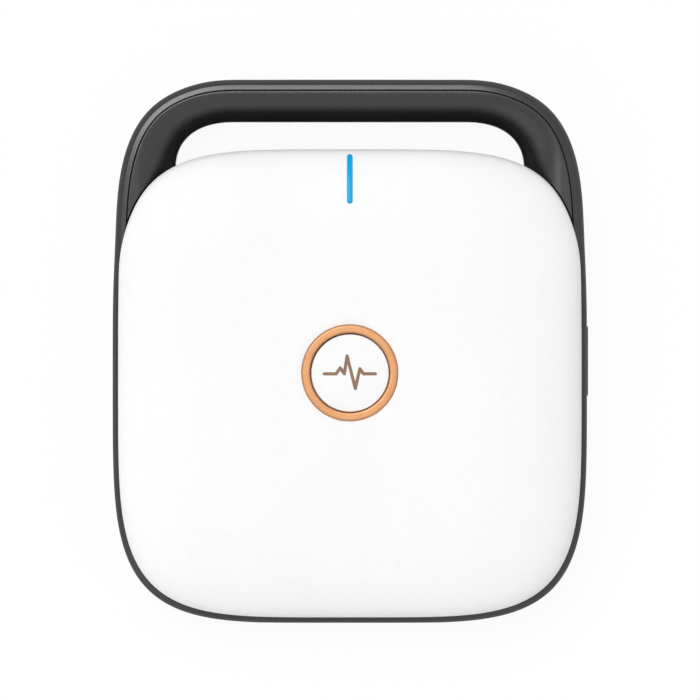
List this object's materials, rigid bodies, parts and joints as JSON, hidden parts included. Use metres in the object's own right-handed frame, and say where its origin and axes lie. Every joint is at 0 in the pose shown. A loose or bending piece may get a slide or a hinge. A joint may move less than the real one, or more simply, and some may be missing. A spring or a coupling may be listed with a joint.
{
  "type": "pc-based ecg recorder",
  "caption": "Pocket recorder for heart signals: white pillow cover with a round button and a light bar, on a dark housing that runs into a carrying handle",
  "frame": {"origin": "middle of the recorder's outline, on the surface that its feet stand on", "axes": "+Z out of the front face with the button, +Y towards the handle, +X towards the port cover's side"},
  "size_m": [0.1045, 0.1193, 0.0279],
  "materials": {
    "white": "satin white moulded cover",
    "charcoal": "satin charcoal moulded plastic",
    "copper": "copper-coloured satin metallic",
    "blue": "translucent blue light bar",
    "rubber": "matt black",
    "silicone": "milky silicone",
    "board": "green solder resist",
    "chip": "moulded black",
    "steel": "plated steel",
    "brass": "bare brass",
    "insulator": "dark blue moulding",
    "cell": "plain printed sleeve",
    "ceramic": "blue-grey resistor coat"
  },
  "bodies": {
    "recorder": {"rear_housing": "charcoal", "mid_frame": "charcoal", "cover_seal": "rubber", "front_cover": "white", "light_pipe": "blue", "status_led": "silicone", "button_ring": "copper", "button_pad": "silicone", "button_switch": "chip", "main_board": "board", "analog_shield": "steel", "isolated_supply": "chip", "processor": "chip", "radio_module": "board", "sounder": "chip", "protection_resistors": "ceramic", "patient_socket_shell": "steel", "patient_socket_insert": "insulator", "patient_socket_pins": "steel", "socket_jack_screw_1": "steel", "socket_jack_screw_2": "steel", "usb_socket": "steel", "usb_board": "board", "board_link": "chip", "battery_cell_1": "cell", "battery_cell_2": "cell", "contact_bridge": "brass", "contact_plate_1": "brass", "contact_plate_2": "brass", "contact_spring_1": "steel", "contact_spring_2": "steel", "housing_screw_1": "steel", "housing_screw_2": "steel", "housing_screw_3": "steel", "housing_screw_4": "steel", "board_screw_1": "steel", "board_screw_2": "steel", "board_screw_3": "steel", "board_screw_4": "steel", "usb_board_screw_1": "steel", "usb_board_screw_2": "steel", "threaded_insert_1": "brass", "threaded_insert_2": "brass", "threaded_insert_3": "brass", "threaded_insert_4": "brass", "rubber_foot_1": "rubber", "rubber_foot_2": "rubber", "rubber_foot_3": "rubber", "rubber_foot_4": "rubber"},
    "button": {"button_cap": "white"},
    "door": {"battery_door": "charcoal"},
    "port_flap": {"port_cover": "rubber"}
  },
  "joints": [
    {"name": "button_press", "type": "slide", "parent": "recorder", "child": "button", "axis": [0, 0, -1], "range_m": [0, 0.0006], "stiffness_N_per_m": 2500, "springref_m": -0.0002, "deforming": ["button_pad"]},
    {"name": "battery_door_slide", "type": "slide", "parent": "recorder", "child": "door", "axis": [0, -1, 0], "range_m": [0, 0.04]},
    {"name": "port_cover_hinge", "type": "hinge", "parent": "recorder", "child": "port_flap", "pos_m": [0.0521, -0.0021, 0.00552], "axis": [0, 1, 0], "range_deg": [0, 110]}
  ]
}
